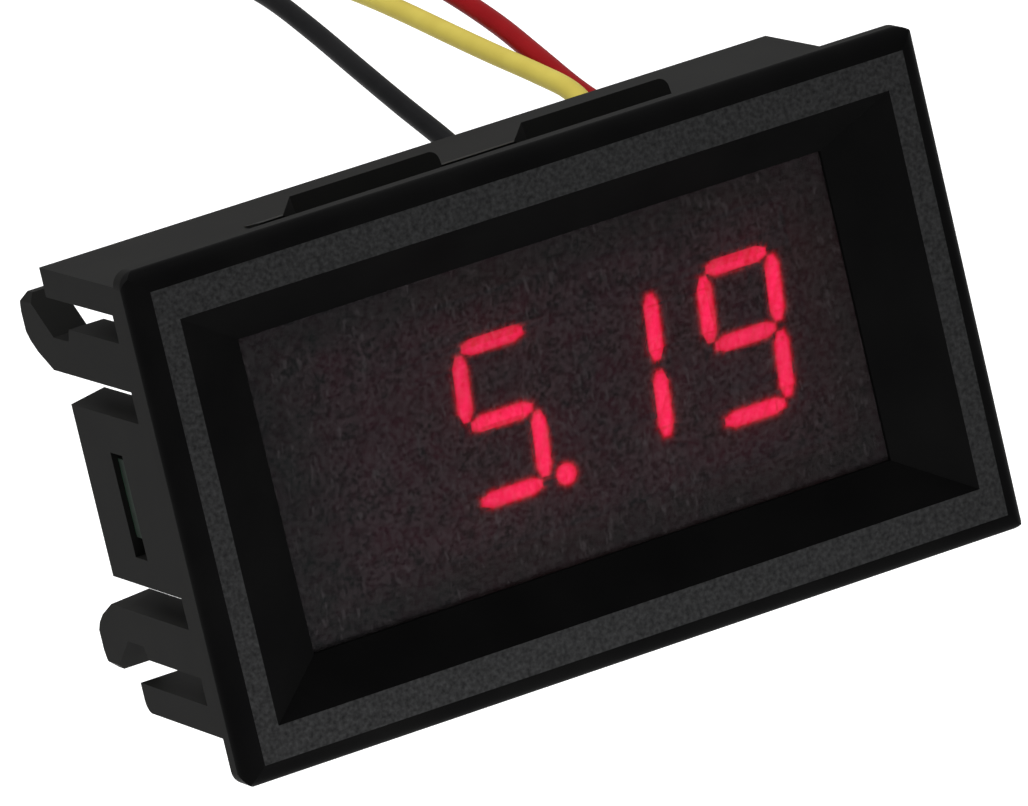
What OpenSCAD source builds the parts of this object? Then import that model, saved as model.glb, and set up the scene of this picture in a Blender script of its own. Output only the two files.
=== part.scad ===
// Snap-in panel meter: a 48 x 29 mm bezel, a four-digit LED display and three flying leads.
// Millimetres. X runs along the bezel, Y from the front to the back, Z up.
// The origin is the centre of the bezel's rear face, which rests on the front of the panel.

/* [Bezel] */
// Width of the bezel
bezel_w = 48; // [44:0.5:60]
// Height of the bezel
bezel_h = 29; // [26:0.5:40]
// Thickness of the bezel in front of the panel
bezel_t = 2.2; // [1.6:0.1:4]
// Rounding of the bezel's front edge
bezel_edge_r = 1.3; // [0.3:0.1:1.5]
// Rounding of the bezel's four corners
bezel_corner_r = 0.9; // [0.3:0.1:3]

/* [Window] */
// Width of the recess at the bezel's front face
recess_w = 43.1; // [38:0.1:46]
// Height of the recess at the bezel's front face
recess_h = 22.9; // [20:0.1:26]
// Width of the window at the bottom of the recess
window_w = 35.5; // [31:0.1:38]
// Height of the window at the bottom of the recess
window_h = 17.8; // [15:0.1:20]
// Depth of the sloping recess
recess_depth = 2.3; // [1.5:0.1:2.6]
// Height of the straight edge between the recess and the film
lip_t = 0.3; // [0.2:0.1:0.6]
// Thickness of the smoked film, which lies against the display
film_t = 0.6; // [0.2:0.1:1]

/* [Body] */
// Width of the body that passes through the panel
body_w = 45; // [42:0.5:50]
// Height of the body that passes through the panel
body_h = 25.6; // [23:0.1:30]
// Depth of the body behind the bezel
body_d = 14.9; // [13:0.1:20]
// Thickness of the left and right walls
side_wall = 2.1; // [1.5:0.1:3]
// Thickness of the top and bottom plates
plate_t = 1.7; // [1:0.1:2.5]
// Rounding of the rear edge of the bottom plate
plate_edge_r = 0.7; // [0.2:0.1:1.5]

/* [Side fingers] */
// Distance from the bezel to the start of the slots beside the fingers
slot_y = 5.3; // [4:0.1:8]
// Gap between a plate and the arm beside it
arm_gap = 1.6; // [0.8:0.1:2.5]
// Height of a snap arm
arm_h = 2.75; // [2:0.05:3.5]
// Gap between an arm and the middle block
block_gap = 1.8; // [0.8:0.1:2.5]
// Distance from the bezel to the rear end of an arm
arm_end = 19.45; // [17:0.05:24]
// Length of the hook, from the foot of its slope to the end of the arm
hook_len = 4.15; // [3:0.05:5]
// Height of the hook above its arm
hook_rise = 1.4; // [0.4:0.1:1.6]
// Depth of the notch in front of the hook
notch_depth = 0.75; // [0.3:0.05:1]
// Length of the flat floor of the notch
notch_len = 2.2; // [1:0.1:4]
// Distance from the bezel to the rear end of the middle block
block_end = 15.1; // [13:0.1:18]
// Height of the slot in the middle block
tab_slot_h = 6; // [4:0.1:7]
// Upward place of the slot's centre
tab_slot_z = -0.3; // [-0.6:0.1:0.6]

/* [Panel barbs] */
// Distance from the bezel to the foot of a barb's steep front face
barb_front = 4.1; // [2.1:0.1:4.4]
// Distance from the bezel to the crest of a barb
barb_crest = 4.7; // [4.5:0.1:6]
// Height of the crest above the plate
barb_rise = 1.7; // [0.8:0.1:2.2]
// Distance from the bezel to the rear end of a barb
barb_end = 6.95; // [6:0.05:9]
// Width of a barb
barb_w = 8.9; // [5:0.1:12]
// Gap between the two barbs of a plate
barb_gap = 5.2; // [3:0.1:10]
// Sideways place of the middle of that gap on the top plate
barb_x = 0.25; // [-1:0.05:1]
// Height of the low rib behind the barbs
rib_rise = 0.5; // [0.2:0.1:1]

/* [Display] */
// Width of the display case
case_w = 30.1; // [28:0.1:34]
// Height of the display case
case_h = 14; // [12:0.1:17]
// Depth of the display case
case_d = 8; // [6:0.1:10]
// Height of the feet behind the case
foot_h = 0.2; // [0.2:0.1:1]
// Sideways place of the display's centre
display_x = 0.1; // [-1:0.1:1]
// Upward place of the display's centre
display_z = 0.1; // [-1:0.1:1]
// Distance from one digit to the next
digit_pitch = 7.5; // [7:0.1:8]
// Height of a digit between the middles of its top and bottom bars
digit_h = 8.44; // [7.5:0.02:9.5]
// Width of a digit between the middles of its upright bars
digit_w = 4.2; // [3.5:0.1:4.6]
// Lean of the digits to the right, in degrees
digit_slant = 6; // [0:0.5:10]
// Width of a bar
bar_w = 0.9; // [0.6:0.05:1.1]
// Width of a bar at its two ends
bar_tip_w = 0.4; // [0.2:0.05:0.6]
// Length of the tapering end of a bar
bar_taper = 0.6; // [0.3:0.05:0.9]
// Length of a level bar
level_bar = 3.75; // [3:0.05:3.8]
// Length of an upright bar
upright_bar = 3.65; // [3:0.05:3.8]
// Depth of the bars in the case
bar_depth = 0.6; // [0.4:0.1:1.5]
// Diameter of a decimal point
point_d = 1.2; // [0.8:0.1:1.4]
// Distance of a decimal point from the middle line of its digit
point_x = 3.33; // [3.2:0.01:3.5]
// Distance between the two rows of pins
pin_rows = 10.16; // [9:0.01:12]
// Distance from one pin to the next
pin_pitch = 2.54; // [2:0.01:3]
// Width of a square pin
pin_w = 0.5; // [0.4:0.05:0.6]

/* [Circuit board] */
// Thickness of the board
board_t = 1.6; // [1:0.1:2]
// Gap between the board or the film and the walls
board_gap = 0.2; // [0.1:0.05:0.5]
// Height of the board's side tabs
tab_h = 4.5; // [3:0.1:5.5]
// Distance from one tab end to the other
tab_span = 44.3; // [42:0.1:45]

/* [Leads] */
// Outer diameter of a lead
lead_d = 1.2; // [0.8:0.1:1.6]
// Diameter of the bare wire of a lead
wire_d = 0.6; // [0.4:0.05:0.8]
// Height of the three solder pads above the centre
pad_z = 8.4; // [7.8:0.1:9]
// Bare length between the board and the insulation
bare_len = 1.4; // [1:0.1:2]
// Length of the tinned end
tip_len = 4; // [2:0.5:8]

/* [Part to show] */
// Node to build

/* [Hidden] */
$fn = 48;
over = 0.5;  // how far a cut runs past the face it opens

// Along the depth: film, display, board
film_front = recess_depth - bezel_t + lip_t;
case_front = film_front + film_t;
case_back = case_front + case_d;
board_front = case_back + foot_h;
board_back = board_front + board_t;
tab_slot_front = board_front - 0.1;

// Inside the body
cavity_w = body_w - 2 * side_wall;
cavity_h = body_h - 2 * plate_t;
board_w = cavity_w - 2 * board_gap;
board_h = cavity_h - 2 * board_gap;

// The fingers, upwards from the centre line
arm_top = cavity_h / 2 - arm_gap;
arm_bottom = arm_top - arm_h;
block_h = 2 * (arm_bottom - block_gap);
finger_draft = 0.35;
block_chamfer = 0.5;
hook_chamfer = 0.45;
hook_top = arm_top + hook_rise;
hook_foot = arm_end - hook_len;
notch_floor = arm_top - notch_depth;
notch_front = hook_foot - notch_len;
notch_ramp = 0.5;

// Barbs and rib
barb_inner = barb_gap / 2;
barb_outer = barb_inner + barb_w;
barb_corner_r = 0.5;
rib_front = 6.1;
rib_end = 8.8;
rib_left = -12.95;

// Display pins
pins_per_row = 6;
pin_root = 1.5;
pin_reach = 1.7;
pin_start = case_back - pin_root;
pin_end = board_back + pin_reach;
pin_hole_d = 0.9;
case_foot_d = 1.2;
case_foot_inset = 1.2;

// Parts on the rear of the board
mould_draft = 0.12;
chip_size = [9.9, 3.9, 1.5];
chip_lift = 0.1;
chip_dimple_d = 0.9;
chip_dimple_depth = 0.1;
chip_dimple_inset = 0.95;
chip_lead_w = 0.4;
chip_lead_t = 0.2;
chip_lead_pitch = 1.27;
chip_lead_span = 6;
chip_lead_foot = 0.6;
chip_leads_per_side = 8;
regulator_at = [12.6, 1.8];
regulator_size = [4.5, 2.5, 1.5];
regulator_lead_w = 0.46;
regulator_tab_w = 1.7;
regulator_lead_len = 0.8;
regulator_lead_pitch = 1.5;
regulator_lead_t = 0.4;
diode_at = [12.8, 6];
diode_size = [2.7, 1.6, 1.2];
diode_terminal = [0.5, 0.9, 0.4];
small_chip = [2, 1.25];
small_cap_len = 0.4;
resistor_t = 0.5;
resistor_columns = 2;
resistor_rows = 5;
resistors_at = [-16.5, -6];
resistor_steps = [4, 3];
capacitor_t = 0.9;
capacitors = 3;
capacitors_at = [9.6, -3.6];
capacitor_step = 3.6;

// Solder and leads
joint_d = 1.9;
joint_top_d = 0.9;
joint_h = 0.9;
pad_hole_d = 1;
black_pad_x = 5.6;
yellow_pad_x = 13;
red_pad_x = 16;
insulation_start = board_back + bare_len;
lead_sides = 8;
black_route = [[5.6, 12.2, 8.4], [5.6, 14, 8.4], [5.6, 16.6, 8.9], [5.6, 20, 9.9], [5.7, 24, 11.1],
    [5.8, 28.8, 12.4], [6.1, 34.8, 13.9], [6.4, 41, 15.5], [6.5, 46.5, 16.9], [6.5, 52, 17.8],
    [6.5, 57.5, 18.3], [6.4, 63, 18.4], [6.3, 68.5, 18.1], [6.2, 74, 17.5], [6.1, 79.5, 16.6],
    [6, 85, 15.7], [6, 90, 14.7], [6, 95, 13], [6, 99.5, 10.8], [6, 103.5, 8.2], [6, 107, 5.1]];
yellow_route = [[13, 12.2, 8.4], [13, 14, 8.4], [13.2, 16.6, 9], [13.6, 20, 10.1], [14.1, 24, 11.2],
    [14.2, 28.5, 11.8], [14.2, 34.8, 12.5], [14.2, 40.5, 13.2], [14.2, 46, 13.9], [14.2, 51.5, 14.5],
    [14.1, 57, 15], [14, 62.5, 15.2], [13.8, 68, 15.3], [13.5, 73.5, 15.2], [13.1, 79, 14.9],
    [12.6, 84.5, 14.5], [12.1, 89.5, 14], [11.5, 94.5, 13.4], [10.9, 99.5, 12.7], [10.3, 104, 12],
    [9.7, 108, 11.3]];
red_route = [[16, 12.2, 8.4], [16, 14, 8.4], [15.9, 17, 8.7], [15.7, 20, 9.2], [15.5, 23, 9.9],
    [15.4, 26.5, 10.8], [15.7, 32, 12.2], [16, 37, 13.4], [16.1, 42.5, 14.6], [16.1, 48, 15.6],
    [16.1, 53.5, 16.4], [16, 59, 16.9], [15.8, 64.5, 17.1], [15.6, 70, 17.1], [15.3, 75.5, 16.9],
    [14.9, 81, 16.5], [14.5, 86.5, 15.9], [14, 92, 15.1], [13.5, 97.5, 14.1], [13, 103, 12.9],
    [12.5, 108, 11.6]];

// ---- shapes shared by several parts ----

// A flat outline drawn in X and Z, thick from y0 to y1
module along_y(y0, y1) {
    translate([0, y1, 0]) rotate([90, 0, 0]) linear_extrude(y1 - y0) children();
}

// A flat outline drawn in Y and Z, thick from x0 to x1
module along_x(x0, x1) {
    translate([x0, 0, 0]) rotate([90, 0, 90]) linear_extrude(x1 - x0) children();
}

// A flat outline drawn in X and Y, thick from -h/2 to h/2
module along_z(h) {
    translate([0, 0, -h / 2]) linear_extrude(h) children();
}

// A block centred in X and Z, from y0 to y1
module block(w, h, y0, y1) {
    translate([-w / 2, y0, -h / 2]) cube([w, y1 - y0, h]);
}

// A round bar along Y
module bar(d, y0, y1, d2 = undef) {
    translate([0, y0, 0]) rotate([-90, 0, 0])
        cylinder(h = y1 - y0, d1 = d, d2 = is_undef(d2) ? d : d2);
}

// A rectangle with four round corners
module rounded_rect(w, h, r) {
    square([w - 2 * r, h], center = true);
    square([w, h - 2 * r], center = true);
    for (x = [-1, 1], z = [-1, 1])
        translate([x * (w / 2 - r), z * (h / 2 - r)]) circle(r);
}

// ---- housing: one moulding ----

// Section of the bezel: its width across, its thickness up the page, the front edges round
module bezel_section(width) {
    straight = width - 2 * bezel_edge_r;
    translate([-width / 2, bezel_edge_r - bezel_t]) square([width, bezel_t - bezel_edge_r]);
    translate([-straight / 2, -bezel_t]) square([straight, bezel_t]);
    for (side = [-1, 1])
        translate([side * straight / 2, bezel_edge_r - bezel_t]) circle(bezel_edge_r);
}

module bezel() {
    intersection() {
        along_z(bezel_h) bezel_section(bezel_w);
        rotate([0, 90, 0]) along_z(bezel_w) bezel_section(bezel_h);
        along_y(-bezel_t, 0) rounded_rect(bezel_w, bezel_h, bezel_corner_r);
    }
}

// Section of the recess, wide at the front face and narrow at the window
module recess_section(front, back) {
    slope = (front - back) / 2 / recess_depth;
    wide = front / 2 + slope * over;
    polygon([[-wide, -bezel_t - over], [wide, -bezel_t - over],
        [back / 2, recess_depth - bezel_t], [-back / 2, recess_depth - bezel_t]]);
}

module recess() {
    intersection() {
        along_z(bezel_h) recess_section(recess_w, window_w);
        rotate([0, 90, 0]) along_z(bezel_w) recess_section(recess_h, window_h);
    }
}

// Side view of the solid body: the rear edge of the bottom plate is round
module body_section() {
    translate([-over, plate_edge_r - body_h / 2]) square([body_d + over, body_h - plate_edge_r]);
    translate([-over, -body_h / 2]) square([body_d + over - plate_edge_r, body_h]);
    translate([body_d - plate_edge_r, plate_edge_r - body_h / 2]) circle(plate_edge_r);
}

// Side view of the upper snap arm: strap, notch and hook, with the rear end rounded off
module arm_section() {
    low = arm_bottom - finger_draft;
    polygon([[slot_y - over, low], [arm_end - 3.7, low], [arm_end - 2.95, arm_bottom],
        [arm_end - 1.15, arm_bottom + 0.85], [arm_end - 0.4, arm_bottom + 1.4],
        [arm_end, arm_bottom + 1.9], [arm_end, arm_top + 0.3], [arm_end - 0.15, arm_top + 0.8],
        [arm_end - 0.55, hook_top], [arm_end - 1.25, hook_top], [hook_foot, notch_floor],
        [notch_front, notch_floor], [notch_front - notch_ramp, arm_top], [slot_y - over, arm_top]]);
}

// Rear view of the arm: drafted on its lower side, the outer top edge chamfered at the hook
module arm_rear_view() {
    inside = cavity_w / 2;
    outside = body_w / 2;
    polygon([[inside, arm_bottom - finger_draft], [outside, arm_bottom], [outside, hook_top - hook_chamfer],
        [outside - hook_chamfer, hook_top], [inside, hook_top]]);
}

// The arm above the centre line of the right-hand wall
module arm() {
    intersection() {
        along_x(cavity_w / 2, body_w / 2) arm_section();
        along_y(slot_y - over, arm_end) arm_rear_view();
    }
}

// The block between the two arms, with the slot for the board's tab
module middle_block() {
    outer = block_h / 2;
    inner = outer + finger_draft;
    difference() {
        along_y(slot_y - over, block_end)
            polygon([[cavity_w / 2, -inner], [body_w / 2, -outer], [body_w / 2, outer],
                [cavity_w / 2, inner]]);
        translate([cavity_w / 2 - over, tab_slot_front, tab_slot_z - tab_slot_h / 2])
            cube([side_wall + 2 * over, board_back - tab_slot_front, tab_slot_h]);
        translate([cavity_w / 2 - over, block_end - block_chamfer, -inner - finger_draft])
            rotate([45, 0, 0]) translate([0, -1, -2]) cube([side_wall + 2 * over, 4, 2]);
    }
}

module side_fingers() {
    arm();
    mirror([0, 0, 1]) arm();
    middle_block();
}

// One barb seen from the side: steep front face, then a ramp that falls to the rear
module barb_section() {
    polygon([[barb_front, -over], [barb_front, 0], [barb_crest, barb_rise], [barb_end, 0],
        [barb_end, -over]]);
}

// Front view of a barb, its right-hand top corner slightly round
module barb_front_view() {
    translate([0, -over]) square([barb_w, barb_rise + over - barb_corner_r]);
    translate([0, -over]) square([barb_w - barb_corner_r, barb_rise + over]);
    translate([barb_w - barb_corner_r, barb_rise - barb_corner_r]) circle(barb_corner_r);
}

// The two barbs and the low rib on the top plate
module plate_barbs() {
    translate([barb_x, 0, body_h / 2]) {
        for (x = [-barb_outer, barb_inner])
            translate([x, 0, 0]) intersection() {
                along_x(0, barb_w) barb_section();
                along_y(0, barb_end) barb_front_view();
            }
        along_x(rib_left, barb_outer)
            polygon([[rib_front, -over], [rib_front, rib_rise], [rib_end, 0], [rib_end, -over]]);
    }
}

module housing() {
    color("DimGray") {
        difference() {
            union() {
                bezel();
                along_x(-body_w / 2, body_w / 2) body_section();
            }
            recess();
            block(window_w, window_h, film_front - lip_t - over, film_front + over);
            block(cavity_w, cavity_h, film_front, body_d + over);
            for (side = [-1, 1])
                translate([side * body_w / 2, 0, 0]) block(2 * side_wall, cavity_h, slot_y, body_d + over);
        }
        side_fingers();
        mirror([1, 0, 0]) side_fingers();
        plate_barbs();
        rotate([0, 180, 0]) plate_barbs();
    }
}

module window_film() {
    color("Black") block(board_w, board_h, film_front, case_front);
}

// ---- display ----

// A point of a digit moved sideways by the lean of the digits
function leaning(p) = [p[0] + p[1] * tan(digit_slant), p[1]];

// Outline of one bar: centre, length, and whether it stands upright
function bar_outline(centre, length, upright) =
    let (half = length / 2, side = bar_w / 2, tip = bar_tip_w / 2, full = half - bar_taper)
    [for (p = [[-half, -tip], [-full, -side], [full, -side], [half, -tip],
               [half, tip], [full, side], [-full, side], [-half, tip]])
        leaning(centre + (upright ? [p[1], p[0]] : p))];

// Centre, length and direction of the bar with each letter, a to g
function bar_of(letter) =
    letter == "a" ? [[0, digit_h / 2], level_bar, false] :
    letter == "b" ? [[digit_w / 2, digit_h / 4], upright_bar, true] :
    letter == "c" ? [[digit_w / 2, -digit_h / 4], upright_bar, true] :
    letter == "d" ? [[0, -digit_h / 2], level_bar, false] :
    letter == "e" ? [[-digit_w / 2, -digit_h / 4], upright_bar, true] :
    letter == "f" ? [[-digit_w / 2, digit_h / 4], upright_bar, true] :
    [[0, 0], level_bar, false];

// The named bars of one digit, 1 on the left to 4 on the right, between two depths
module bars(digit, letters, y0, y1) {
    translate([display_x + (digit - 2.5) * digit_pitch, 0, display_z]) along_y(y0, y1)
        for (letter = letters) {
            shape = bar_of(letter);
            polygon(bar_outline(shape[0], shape[1], shape[2]));
        }
}

// The decimal points of the listed digits
module points(digits, y0, y1) {
    at = leaning([point_x, 0.07 - digit_h / 2]);
    for (digit = digits)
        translate([display_x + (digit - 2.5) * digit_pitch + at[0], 0, display_z + at[1]])
            bar(point_d, y0, y1);
}

// Children repeated at the place of every display pin
module at_pins() {
    for (side = [-1, 1], i = [0 : pins_per_row - 1])
        translate([display_x + (i - (pins_per_row - 1) / 2) * pin_pitch, 0, display_z + side * pin_rows / 2])
            children();
}

module display_case() {
    color("DarkGray") {
        difference() {
            translate([display_x, 0, display_z]) block(case_w, case_h, case_front, case_back);
            for (digit = [1:4])
                bars(digit, "abcdefg", case_front - over, case_front + bar_depth);
            points([1:4], case_front - over, case_front + bar_depth);
            at_pins() block(pin_w, pin_w, pin_start, case_back + over);
        }
        for (x = [-1, 1], z = [-1, 1])
            translate([display_x + x * (case_w / 2 - case_foot_inset), 0,
                display_z + z * (case_h / 2 - case_foot_inset)])
                bar(case_foot_d, case_back - over, board_front);
    }
}

module lit_bars(digit, letters) {
    color("Red") bars(digit, letters, case_front, case_front + bar_depth);
}

module dark_bars(digit, letters) {
    color("Gainsboro") bars(digit, letters, case_front, case_front + bar_depth);
}

module digit_1_dark_segments() dark_bars(1, "abcdefg");

module digit_2_lit_segments() lit_bars(2, "acdfg");

module digit_2_dark_segments() dark_bars(2, "be");

module digit_3_lit_segments() lit_bars(3, "bc");

module digit_3_dark_segments() dark_bars(3, "adefg");

module digit_4_lit_segments() lit_bars(4, "abcdfg");

module digit_4_dark_segments() dark_bars(4, "e");

module lit_decimal_point() {
    color("Red") points([2], case_front, case_front + bar_depth);
}

module dark_decimal_points() {
    color("Gainsboro") points([1, 3, 4], case_front, case_front + bar_depth);
}

module display_pins() {
    color("Silver") at_pins() block(pin_w, pin_w, pin_start, pin_end);
}

// ---- circuit board and the parts soldered to it ----

// Children repeated at the three lead pads
module at_pads() {
    for (x = [black_pad_x, yellow_pad_x, red_pad_x])
        translate([x, 0, pad_z]) children();
}

module circuit_board() {
    color("ForestGreen") difference() {
        union() {
            block(board_w, board_h, board_front, board_back);
            block(tab_span, tab_h, board_front, board_back);
        }
        at_pins() bar(pin_hole_d, board_front - over, board_back + over);
        at_pads() bar(pad_hole_d, board_front - over, board_back + over);
    }
}

// Outline of a moulded body across its width: upright from band[0] to band[1], narrower beyond
module mould_section(width, t, band) {
    below = width / 2 - (band[0] > 0 ? mould_draft : 0);
    above = width / 2 - mould_draft;
    polygon([[-below, 0], [below, 0], [width / 2, band[0]], [width / 2, band[1]], [above, t],
        [-above, t], [-width / 2, band[1]], [-width / 2, band[0]]]);
}

// A moulded body standing on the rear of the board, with its sides drafted
module moulded(size, band) {
    translate([0, board_back, 0]) intersection() {
        along_z(size[1]) mould_section(size[0], size[2], band);
        rotate([0, 90, 0]) along_z(size[0]) mould_section(size[1], size[2], band);
    }
}

// The chip is lifted off the board by its leads, which leave it at half its thickness
chip_band = [(chip_size[2] - chip_lead_t) / 2, (chip_size[2] + chip_lead_t) / 2];

module microcontroller() {
    top = board_back + chip_lift + chip_size[2];
    color("Black") translate([display_x, 0, display_z]) difference() {
        translate([0, chip_lift, 0]) moulded(chip_size, chip_band);
        translate([chip_size[0] / 2 - chip_dimple_inset, 0, chip_dimple_inset - chip_size[1] / 2])
            bar(chip_dimple_d, top - chip_dimple_depth, top + over);
    }
}

// Side view of one bent lead above the chip: foot on the board, riser, end in the chip's side
module chip_lead_section() {
    foot = chip_lead_span / 2;
    riser = foot - chip_lead_foot;
    side = chip_size[1] / 2;
    low = board_back + chip_lift + chip_band[0];
    high = board_back + chip_lift + chip_band[1];
    polygon([[board_back, foot], [board_back, riser - chip_lead_t], [low, riser - chip_lead_t], [low, side],
        [high, side], [high, riser], [board_back + chip_lead_t, riser], [board_back + chip_lead_t, foot]]);
}

module microcontroller_leads() {
    middle = (chip_leads_per_side - 1) / 2;
    color("Silver") translate([display_x, 0, display_z])
        for (turn = [0, 180], i = [0 : chip_leads_per_side - 1])
            rotate([0, turn, 0]) translate([(i - middle) * chip_lead_pitch, 0, 0])
                along_x(-chip_lead_w / 2, chip_lead_w / 2) chip_lead_section();
}

// A block standing on the rear of the board, centred at x and z
module on_board(at, w, h, t) {
    translate([at[0], 0, at[1]]) block(w, h, board_back, board_back + t);
}

module voltage_regulator() {
    color("Black") translate([regulator_at[0], 0, regulator_at[1]])
        moulded(regulator_size, [0, regulator_lead_t]);
}

// Three leads above the regulator and the broad tab below it
module regulator_leads() {
    away = (regulator_size[1] + regulator_lead_len) / 2;
    color("Silver") {
        for (i = [-1:1])
            on_board(regulator_at + [i * regulator_lead_pitch, away], regulator_lead_w, regulator_lead_len,
                regulator_lead_t);
        on_board(regulator_at - [0, away], regulator_tab_w, regulator_lead_len, regulator_lead_t);
    }
}

module protection_diode() {
    color("Black") translate([diode_at[0], 0, diode_at[1]]) moulded(diode_size, [0, diode_terminal[2]]);
}

module diode_terminals() {
    away = (diode_size[0] + diode_terminal[0]) / 2;
    color("Silver") for (side = [-1, 1])
        on_board(diode_at + [side * away, 0], diode_terminal[0], diode_terminal[1], diode_terminal[2]);
}

// Children repeated at the place of every resistor
module at_resistors() {
    for (column = [0 : resistor_columns - 1], row = [0 : resistor_rows - 1])
        translate([resistors_at[0] + column * resistor_steps[0], 0,
            resistors_at[1] + row * resistor_steps[1]])
            children();
}

// Children repeated at the place of every capacitor
module at_capacitors() {
    for (i = [0 : capacitors - 1])
        translate([capacitors_at[0] + i * capacitor_step, 0, capacitors_at[1]]) children();
}

// The body of a small two-ended chip, between its end caps
module small_body(t) {
    on_board([0, 0], small_chip[0] - 2 * small_cap_len, small_chip[1], t);
}

module small_caps(t) {
    for (side = [-1, 1])
        on_board([side * (small_chip[0] - small_cap_len) / 2, 0], small_cap_len, small_chip[1], t);
}

module chip_resistors() {
    color("Black") at_resistors() small_body(resistor_t);
}

module chip_capacitors() {
    color("Tan") at_capacitors() small_body(capacitor_t);
}

module chip_end_caps() {
    color("Silver") {
        at_resistors() small_caps(resistor_t);
        at_capacitors() small_caps(capacitor_t);
    }
}

// A cone of solder on the rear of the board, round the pin or wire given as a child
module joint() {
    difference() {
        bar(joint_d, board_back, board_back + joint_h, joint_top_d);
        children();
    }
}

module solder_joints() {
    color("Silver") {
        at_pins() joint() block(pin_w, pin_w, pin_start, pin_end);
        at_pads() joint() bar(wire_d, board_front, insulation_start);
    }
}

// ---- leads ----

module lead_conductors() {
    color("Silver") at_pads() bar(wire_d, board_front, insulation_start);
}

function unit(v) = v / norm(v);

// Direction of a route at one of its points
function heading(route, i) =
    i == 0 ? unit(route[1] - route[0]) :
    i == len(route) - 1 ? unit(route[i] - route[i - 1]) :
    unit(unit(route[i + 1] - route[i]) + unit(route[i] - route[i - 1]));

// The corners of the tube round one point of a route
function tube_ring(route, i) =
    let (ahead = heading(route, i), across = unit(cross(ahead, [0, 0, 1])), up = cross(across, ahead))
    [for (s = [0 : lead_sides - 1])
        let (turn = (s + 0.5) * 360 / lead_sides)
        route[i] + lead_d / 2 * (cos(turn) * across + sin(turn) * up)];

module lead(route) {
    rings = len(route);
    corners = [for (i = [0 : rings - 1]) each tube_ring(route, i)];
    sides = [for (i = [0 : rings - 2], s = [0 : lead_sides - 1])
        let (a = i * lead_sides + s, b = i * lead_sides + (s + 1) % lead_sides)
        [a, a + lead_sides, b + lead_sides, b]];
    start = [for (s = [0 : lead_sides - 1]) s];
    finish = [for (s = [lead_sides - 1 : -1 : 0]) (rings - 1) * lead_sides + s];
    polyhedron(corners, concat([start], sides, [finish]));
}

// The tinned end of a lead, straight on from its last point
module tip(route) {
    last = len(route) - 1;
    ahead = heading(route, last);
    translate(route[last]) rotate([0, acos(ahead[2]), atan2(ahead[1], ahead[0])])
        cylinder(h = tip_len, d = wire_d);
}

module lead_black() {
    color("Black") lead(black_route);
}

module lead_yellow() {
    color("Yellow") lead(yellow_route);
}

module lead_red() {
    color("Red") lead(red_route);
}

module lead_tips() {
    color("Silver") for (route = [black_route, yellow_route, red_route]) tip(route);
}

housing();
window_film();
display_case();
digit_1_dark_segments();
digit_2_lit_segments();
digit_2_dark_segments();
digit_3_lit_segments();
digit_3_dark_segments();
digit_4_lit_segments();
digit_4_dark_segments();
lit_decimal_point();
dark_decimal_points();
display_pins();
circuit_board();
microcontroller();
microcontroller_leads();
voltage_regulator();
regulator_leads();
protection_diode();
diode_terminals();
chip_resistors();
chip_capacitors();
chip_end_caps();
solder_joints();
lead_conductors();
lead_black();
lead_yellow();
lead_red();
lead_tips();
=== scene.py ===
"""Looks of the snap-in panel meter: camera, stage, leads, materials and fine detail.

Metres, in the part's own frame: X along the bezel, Y to the rear, Z up, the origin at the
centre of the bezel's rear face.
"""
import math

import bmesh
import bpy
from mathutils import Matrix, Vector
from mathutils.bvhtree import BVHTree


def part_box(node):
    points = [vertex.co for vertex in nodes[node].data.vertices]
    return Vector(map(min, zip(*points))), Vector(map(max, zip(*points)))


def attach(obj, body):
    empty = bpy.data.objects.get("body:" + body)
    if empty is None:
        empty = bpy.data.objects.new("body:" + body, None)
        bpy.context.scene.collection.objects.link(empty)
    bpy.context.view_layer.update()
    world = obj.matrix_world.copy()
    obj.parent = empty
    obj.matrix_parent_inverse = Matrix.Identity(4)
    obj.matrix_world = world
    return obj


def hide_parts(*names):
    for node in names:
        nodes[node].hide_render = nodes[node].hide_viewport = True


MM = 0.001

# ---------------------------------------------------------------- the frame

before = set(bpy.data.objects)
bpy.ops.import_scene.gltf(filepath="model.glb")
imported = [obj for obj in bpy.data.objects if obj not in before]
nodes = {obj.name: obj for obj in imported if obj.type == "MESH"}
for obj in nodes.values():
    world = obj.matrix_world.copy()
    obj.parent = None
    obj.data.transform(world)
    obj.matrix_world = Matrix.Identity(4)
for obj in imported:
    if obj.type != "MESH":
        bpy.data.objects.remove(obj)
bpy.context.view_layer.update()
housing_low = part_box("housing")[0]
film_low, film_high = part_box("window_film")
case_low, case_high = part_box("display_case")
board_low, board_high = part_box("circuit_board")

# Sizes that the frame doesn't give
EDGE_ROUND = 1.3 * MM  # rounding of the bezel's front edge
RECESS_WIDTH = 43.1 * MM  # at the bezel's front face
RECESS_HEIGHT = 22.9 * MM
MASK = 0.03 * MM  # thickness of the board's green coat
HAIR = 0.01 * MM  # slack where a place is tested, and how deep tracks, pads and print are sunk

# ---------------------------------------------------------------- the camera

CAMERA_AT = (-0.2329, -0.5772, 0.1388)
CAMERA_TURN = (77.148, 12.962, -24.631)  # degrees about X, Y and Z
CAMERA_LENS = 412.3  # mm
CAMERA_SENSOR = 36  # mm wide
CAMERA_NEAREST = 0.01
CAMERA_FARTHEST = 20


def make_camera():
    """The camera, where the photo was taken from."""
    data = bpy.data.cameras.new("camera")
    data.sensor_width = CAMERA_SENSOR
    data.lens = CAMERA_LENS
    data.clip_start = CAMERA_NEAREST
    data.clip_end = CAMERA_FARTHEST
    camera = bpy.data.objects.new("camera", data)
    camera.location = CAMERA_AT
    camera.rotation_euler = [math.radians(turn) for turn in CAMERA_TURN]
    bpy.context.scene.collection.objects.link(camera)
    bpy.context.scene.camera = camera


make_camera()

# ---------------------------------------------------------------- node materials

FILM_CLEAR = 0.12  # share of the light that passes the film's front layer


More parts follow.
